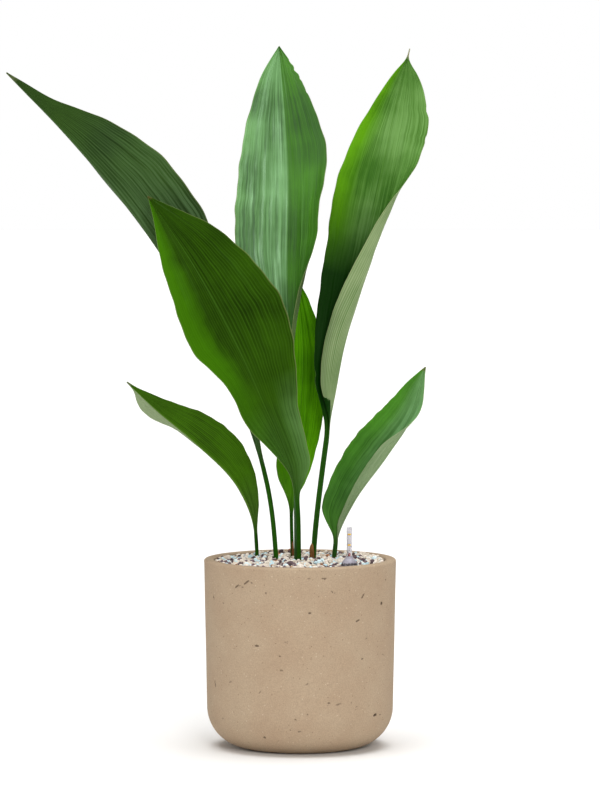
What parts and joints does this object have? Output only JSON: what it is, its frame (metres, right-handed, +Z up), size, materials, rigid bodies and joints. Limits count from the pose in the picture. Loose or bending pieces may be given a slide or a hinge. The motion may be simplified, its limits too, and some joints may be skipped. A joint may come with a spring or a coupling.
{
  "type": "potted cast iron plant",
  "caption": "House plant with tall and low leathery, lance-shaped leaves on slim stalks, in a round stone-look planter of mineral granules with a float water gauge.",
  "frame": {"origin": "centre of the planter's flat foot, on the surface that it stands on", "axes": "+Z up along the planter's axis, -Y is the front, +X is to the right seen from the front"},
  "size_m": [0.4358, 0.2048, 0.7292],
  "materials": {
    "pot": "cast stone-and-fibre mix, beige, fine sandy, matt, with small pits and scratches",
    "granules": "loose mineral granules, cream, pale blue, brown and rust",
    "rhizome": "fibrous brown skin",
    "leaf": "leathery leaf, dark green with a waxy gloss above, paler below, parallel veins",
    "dry_sheath": "dry brown sheath, papery and matt",
    "gauge_grey": "grey moulded plastic",
    "gauge_clear": "clear moulded plastic, slightly milky",
    "gauge_red": "red moulded plastic"
  },
  "bodies": {
    "root": {"pot": "pot", "granule_fill": "granules", "rhizome": "rhizome", "leaf_front": "leaf", "leaf_centre": "leaf", "leaf_left": "leaf", "leaf_right": "leaf", "leaf_behind": "leaf", "leaf_low_left": "leaf", "leaf_low_right": "leaf", "dry_sheath_right": "dry_sheath", "dry_sheath_behind": "dry_sheath", "gauge_housing": "gauge_grey", "gauge_sight_tube": "gauge_clear"},
    "float": {"gauge_float": "gauge_red"}
  },
  "joints": [
    {"name": "float_rise", "type": "slide", "parent": "root", "child": "float", "axis": [0, 0, 1], "range_m": [0, 0.023]}
  ]
}
